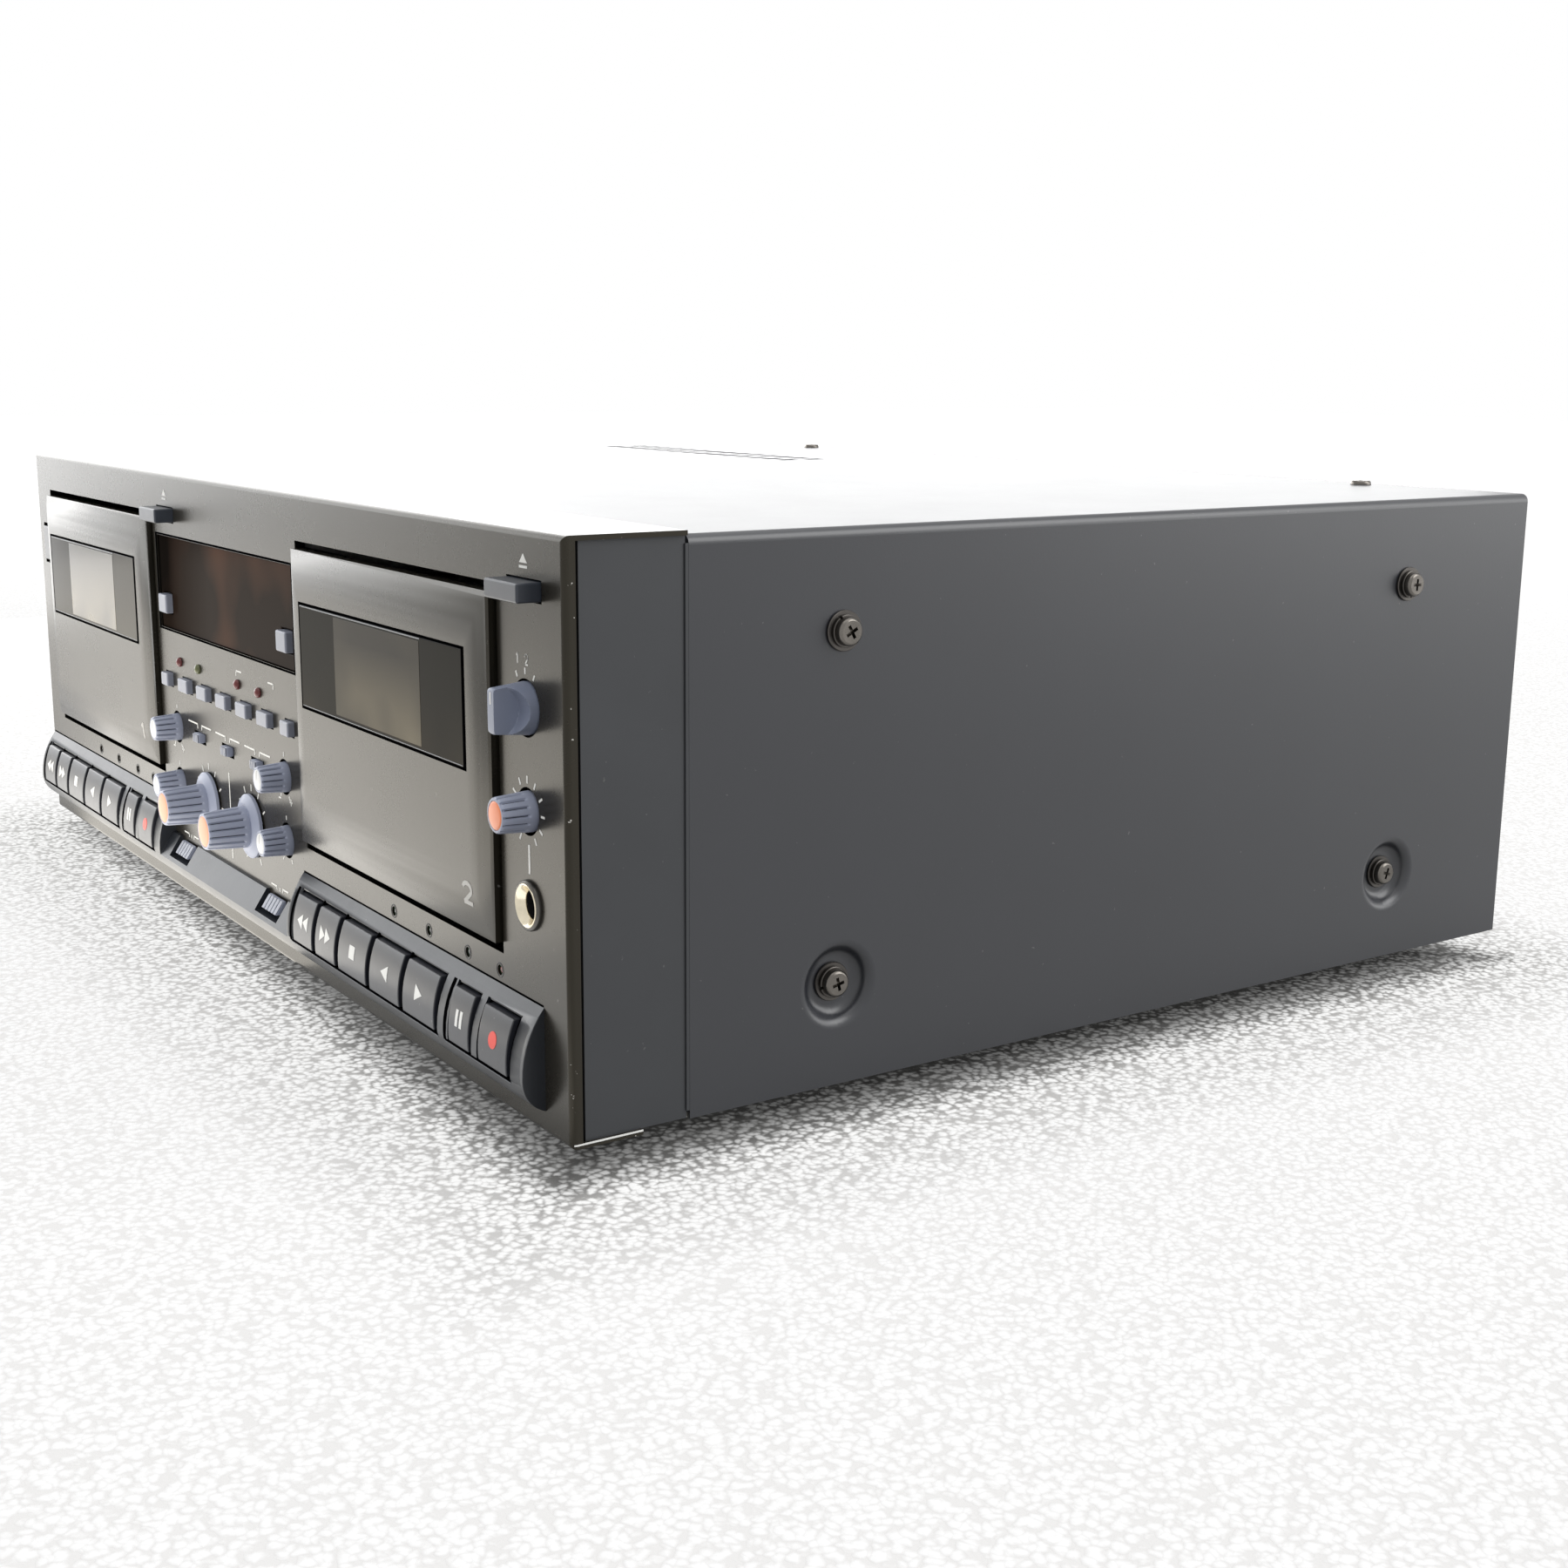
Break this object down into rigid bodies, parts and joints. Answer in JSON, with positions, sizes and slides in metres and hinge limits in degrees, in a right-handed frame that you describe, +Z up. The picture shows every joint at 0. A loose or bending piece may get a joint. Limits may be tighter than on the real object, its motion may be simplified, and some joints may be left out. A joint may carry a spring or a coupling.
{
  "type": "double cassette deck",
  "caption": "Full-width double cassette deck with tilting cassette doors, a bulging rail of transport keys, push buttons, rotary knobs and slide switches in a folded sheet casing.",
  "frame": {"origin": "middle of the whole part's footprint, at the bottom of its feet", "axes": "+X to the deck's right seen from the front, +Y to the back, +Z up; the front faces -Y"},
  "size_m": [0.4424, 0.3574, 0.1508],
  "materials": {
    "panel_paint": "satin metallic grey paint",
    "panel_plastic": "satin grey moulding",
    "frame_plastic": "smooth dark grey moulding",
    "smoked_acrylic": "glossy smoked",
    "door_acrylic": "glossy smoked",
    "plated_steel": "zinc plated",
    "cover_paint": "satin blue-grey paint",
    "rear_paint": "satin black paint",
    "screw_steel": "dark plated",
    "foot_plastic": "matt",
    "board": "board laminate and parts",
    "jack_metal": "polished pale plating",
    "socket_plastic": "matt",
    "key_plastic": "satin grey",
    "knob_plastic": "satin blue-grey",
    "spindle_plastic": "smooth"
  },
  "bodies": {
    "case": {"front_panel": "panel_paint", "front_frame": "frame_plastic", "key_rail": "panel_plastic", "display_window": "smoked_acrylic", "chassis": "plated_steel", "top_cover": "cover_paint", "rear_panel": "rear_paint", "cover_screws": "screw_steel", "feet": "foot_plastic", "electronics": "board", "deck_mechanisms": "plated_steel", "headphone_jack": "jack_metal", "rear_sockets": "socket_plastic"},
    "cassette_door_1": {"cassette_door_1": "panel_plastic", "door_window_1": "door_acrylic"},
    "cassette_door_2": {"cassette_door_2": "panel_plastic", "door_window_2": "door_acrylic"},
    "eject_button_1": {"eject_button_1": "knob_plastic"},
    "eject_button_2": {"eject_button_2": "knob_plastic"},
    "power_button": {"power_button": "key_plastic"},
    "reset_button_1": {"reset_button_1": "knob_plastic"},
    "reset_button_2": {"reset_button_2": "knob_plastic"},
    "function_button_1": {"function_button_1": "knob_plastic"},
    "function_button_2": {"function_button_2": "knob_plastic"},
    "function_button_3": {"function_button_3": "knob_plastic"},
    "function_button_4": {"function_button_4": "knob_plastic"},
    "function_button_5": {"function_button_5": "knob_plastic"},
    "function_button_6": {"function_button_6": "knob_plastic"},
    "function_button_7": {"function_button_7": "knob_plastic"},
    "rewind_key_1": {"rewind_key_1": "key_plastic"},
    "forward_key_1": {"forward_key_1": "key_plastic"},
    "stop_key_1": {"stop_key_1": "key_plastic"},
    "reverse_key_1": {"reverse_key_1": "key_plastic"},
    "play_key_1": {"play_key_1": "key_plastic"},
    "pause_key_1": {"pause_key_1": "key_plastic"},
    "record_key_1": {"record_key_1": "key_plastic"},
    "rewind_key_2": {"rewind_key_2": "key_plastic"},
    "forward_key_2": {"forward_key_2": "key_plastic"},
    "stop_key_2": {"stop_key_2": "key_plastic"},
    "reverse_key_2": {"reverse_key_2": "key_plastic"},
    "play_key_2": {"play_key_2": "key_plastic"},
    "pause_key_2": {"pause_key_2": "key_plastic"},
    "record_key_2": {"record_key_2": "key_plastic"},
    "selector_knob": {"selector_knob": "knob_plastic"},
    "phones_knob": {"phones_knob": "knob_plastic"},
    "pitch_knob_1": {"pitch_knob_1": "knob_plastic"},
    "pitch_knob_2": {"pitch_knob_2": "knob_plastic"},
    "balance_knob_1": {"balance_knob_1": "knob_plastic"},
    "balance_knob_2": {"balance_knob_2": "knob_plastic"},
    "input_knob_1": {"input_knob_1": "knob_plastic"},
    "input_knob_2": {"input_knob_2": "knob_plastic"},
    "slide_switch_1": {"slide_switch_1": "knob_plastic"},
    "slide_switch_2": {"slide_switch_2": "knob_plastic"},
    "slide_switch_3": {"slide_switch_3": "knob_plastic"},
    "slide_switch_4": {"slide_switch_4": "knob_plastic"},
    "slide_switch_5": {"slide_switch_5": "knob_plastic"},
    "supply_spindle_1": {"supply_spindle_1": "spindle_plastic"},
    "takeup_spindle_1": {"takeup_spindle_1": "spindle_plastic"},
    "supply_spindle_2": {"supply_spindle_2": "spindle_plastic"},
    "takeup_spindle_2": {"takeup_spindle_2": "spindle_plastic"}
  },
  "joints": [
    {"name": "cassette_door_1_turn", "type": "hinge", "parent": "case", "child": "cassette_door_1", "pos_m": [-0.136, -0.15805, 0.0506], "axis": [1, 0, 0], "range_deg": [0, 20]},
    {"name": "cassette_door_2_turn", "type": "hinge", "parent": "case", "child": "cassette_door_2", "pos_m": [0.1215, -0.15805, 0.0506], "axis": [1, 0, 0], "range_deg": [0, 20]},
    {"name": "eject_button_1_slide", "type": "slide", "parent": "case", "child": "eject_button_1", "axis": [0, 1, 0], "range_m": [0, 0.003], "stiffness_N_per_m": 300},
    {"name": "eject_button_2_slide", "type": "slide", "parent": "case", "child": "eject_button_2", "axis": [0, 1, 0], "range_m": [0, 0.003], "stiffness_N_per_m": 300},
    {"name": "power_button_slide", "type": "slide", "parent": "case", "child": "power_button", "axis": [0, 1, 0], "range_m": [0, 0.0025], "stiffness_N_per_m": 400},
    {"name": "reset_button_1_slide", "type": "slide", "parent": "case", "child": "reset_button_1", "axis": [0, 1, 0], "range_m": [0, 0.0008], "stiffness_N_per_m": 500},
    {"name": "reset_button_2_slide", "type": "slide", "parent": "case", "child": "reset_button_2", "axis": [0, 1, 0], "range_m": [0, 0.0008], "stiffness_N_per_m": 500},
    {"name": "function_button_1_slide", "type": "slide", "parent": "case", "child": "function_button_1", "axis": [0, 1, 0], "range_m": [0, 0.0008], "stiffness_N_per_m": 500},
    {"name": "function_button_2_slide", "type": "slide", "parent": "case", "child": "function_button_2", "axis": [0, 1, 0], "range_m": [0, 0.0008], "stiffness_N_per_m": 500},
    {"name": "function_button_3_slide", "type": "slide", "parent": "case", "child": "function_button_3", "axis": [0, 1, 0], "range_m": [0, 0.0008], "stiffness_N_per_m": 500},
    {"name": "function_button_4_slide", "type": "slide", "parent": "case", "child": "function_button_4", "axis": [0, 1, 0], "range_m": [0, 0.0008], "stiffness_N_per_m": 500},
    {"name": "function_button_5_slide", "type": "slide", "parent": "case", "child": "function_button_5", "axis": [0, 1, 0], "range_m": [0, 0.0008], "stiffness_N_per_m": 500},
    {"name": "function_button_6_slide", "type": "slide", "parent": "case", "child": "function_button_6", "axis": [0, 1, 0], "range_m": [0, 0.0008], "stiffness_N_per_m": 500},
    {"name": "function_button_7_slide", "type": "slide", "parent": "case", "child": "function_button_7", "axis": [0, 1, 0], "range_m": [0, 0.0008], "stiffness_N_per_m": 500},
    {"name": "rewind_key_1_slide", "type": "slide", "parent": "case", "child": "rewind_key_1", "axis": [0, 1, 0], "range_m": [0, 0.0012], "stiffness_N_per_m": 500},
    {"name": "forward_key_1_slide", "type": "slide", "parent": "case", "child": "forward_key_1", "axis": [0, 1, 0], "range_m": [0, 0.0012], "stiffness_N_per_m": 500},
    {"name": "stop_key_1_slide", "type": "slide", "parent": "case", "child": "stop_key_1", "axis": [0, 1, 0], "range_m": [0, 0.0012], "stiffness_N_per_m": 500},
    {"name": "reverse_key_1_slide", "type": "slide", "parent": "case", "child": "reverse_key_1", "axis": [0, 1, 0], "range_m": [0, 0.0012], "stiffness_N_per_m": 500},
    {"name": "play_key_1_slide", "type": "slide", "parent": "case", "child": "play_key_1", "axis": [0, 1, 0], "range_m": [0, 0.0012], "stiffness_N_per_m": 500},
    {"name": "pause_key_1_slide", "type": "slide", "parent": "case", "child": "pause_key_1", "axis": [0, 1, 0], "range_m": [0, 0.0012], "stiffness_N_per_m": 500},
    {"name": "record_key_1_slide", "type": "slide", "parent": "case", "child": "record_key_1", "axis": [0, 1, 0], "range_m": [0, 0.0012], "stiffness_N_per_m": 500},
    {"name": "rewind_key_2_slide", "type": "slide", "parent": "case", "child": "rewind_key_2", "axis": [0, 1, 0], "range_m": [0, 0.0012], "stiffness_N_per_m": 500},
    {"name": "forward_key_2_slide", "type": "slide", "parent": "case", "child": "forward_key_2", "axis": [0, 1, 0], "range_m": [0, 0.0012], "stiffness_N_per_m": 500},
    {"name": "stop_key_2_slide", "type": "slide", "parent": "case", "child": "stop_key_2", "axis": [0, 1, 0], "range_m": [0, 0.0012], "stiffness_N_per_m": 500},
    {"name": "reverse_key_2_slide", "type": "slide", "parent": "case", "child": "reverse_key_2", "axis": [0, 1, 0], "range_m": [0, 0.0012], "stiffness_N_per_m": 500},
    {"name": "play_key_2_slide", "type": "slide", "parent": "case", "child": "play_key_2", "axis": [0, 1, 0], "range_m": [0, 0.0012], "stiffness_N_per_m": 500},
    {"name": "pause_key_2_slide", "type": "slide", "parent": "case", "child": "pause_key_2", "axis": [0, 1, 0], "range_m": [0, 0.0012], "stiffness_N_per_m": 500},
    {"name": "record_key_2_slide", "type": "slide", "parent": "case", "child": "record_key_2", "axis": [0, 1, 0], "range_m": [0, 0.0012], "stiffness_N_per_m": 500},
    {"name": "selector_knob_turn", "type": "hinge", "parent": "case", "child": "selector_knob", "pos_m": [0.199, -0.16325, 0.1076], "axis": [0, -1, 0], "range_deg": [-30, 30]},
    {"name": "phones_knob_turn", "type": "hinge", "parent": "case", "child": "phones_knob", "pos_m": [0.199, -0.16325, 0.0835], "axis": [0, -1, 0], "range_deg": [-150, 150]},
    {"name": "pitch_knob_1_turn", "type": "hinge", "parent": "case", "child": "pitch_knob_1", "pos_m": [-0.05655, -0.16325, 0.0642], "axis": [0, -1, 0], "range_deg": [-150, 150]},
    {"name": "pitch_knob_2_turn", "type": "hinge", "parent": "case", "child": "pitch_knob_2", "pos_m": [0.04205, -0.16325, 0.0642], "axis": [0, -1, 0], "range_deg": [-150, 150]},
    {"name": "balance_knob_1_turn", "type": "hinge", "parent": "case", "child": "balance_knob_1", "pos_m": [-0.05655, -0.16325, 0.045], "axis": [0, -1, 0], "range_deg": [-150, 150]},
    {"name": "balance_knob_2_turn", "type": "hinge", "parent": "case", "child": "balance_knob_2", "pos_m": [0.04205, -0.16325, 0.045], "axis": [0, -1, 0], "range_deg": [-150, 150]},
    {"name": "input_knob_1_turn", "type": "hinge", "parent": "case", "child": "input_knob_1", "pos_m": [-0.02697, -0.16325, 0.0437], "axis": [0, -1, 0], "range_deg": [-150, 150]},
    {"name": "input_knob_2_turn", "type": "hinge", "parent": "case", "child": "input_knob_2", "pos_m": [0.01247, -0.16325, 0.0437], "axis": [0, -1, 0], "range_deg": [-150, 150]},
    {"name": "slide_switch_1_slide", "type": "slide", "parent": "case", "child": "slide_switch_1", "axis": [1, 0, 0], "range_m": [-0.0025, 0.0025]},
    {"name": "slide_switch_2_slide", "type": "slide", "parent": "case", "child": "slide_switch_2", "axis": [1, 0, 0], "range_m": [-0.0025, 0.0025]},
    {"name": "slide_switch_3_slide", "type": "slide", "parent": "case", "child": "slide_switch_3", "axis": [1, 0, 0], "range_m": [-0.0025, 0.0025]},
    {"name": "slide_switch_4_slide", "type": "slide", "parent": "case", "child": "slide_switch_4", "axis": [1, 0, 0], "range_m": [-0.0025, 0.0025]},
    {"name": "slide_switch_5_slide", "type": "slide", "parent": "case", "child": "slide_switch_5", "axis": [1, 0, 0], "range_m": [-0.0025, 0.0025]},
    {"name": "supply_spindle_1_turn", "type": "hinge", "parent": "case", "child": "supply_spindle_1", "pos_m": [-0.15725, -0.14325, 0.088], "axis": [0, -1, 0], "continuous": true},
    {"name": "takeup_spindle_1_turn", "type": "hinge", "parent": "case", "child": "takeup_spindle_1", "pos_m": [-0.11475, -0.14325, 0.088], "axis": [0, -1, 0], "continuous": true},
    {"name": "supply_spindle_2_turn", "type": "hinge", "parent": "case", "child": "supply_spindle_2", "pos_m": [0.10025, -0.14325, 0.088], "axis": [0, -1, 0], "continuous": true},
    {"name": "takeup_spindle_2_turn", "type": "hinge", "parent": "case", "child": "takeup_spindle_2", "pos_m": [0.14275, -0.14325, 0.088], "axis": [0, -1, 0], "continuous": true}
  ]
}
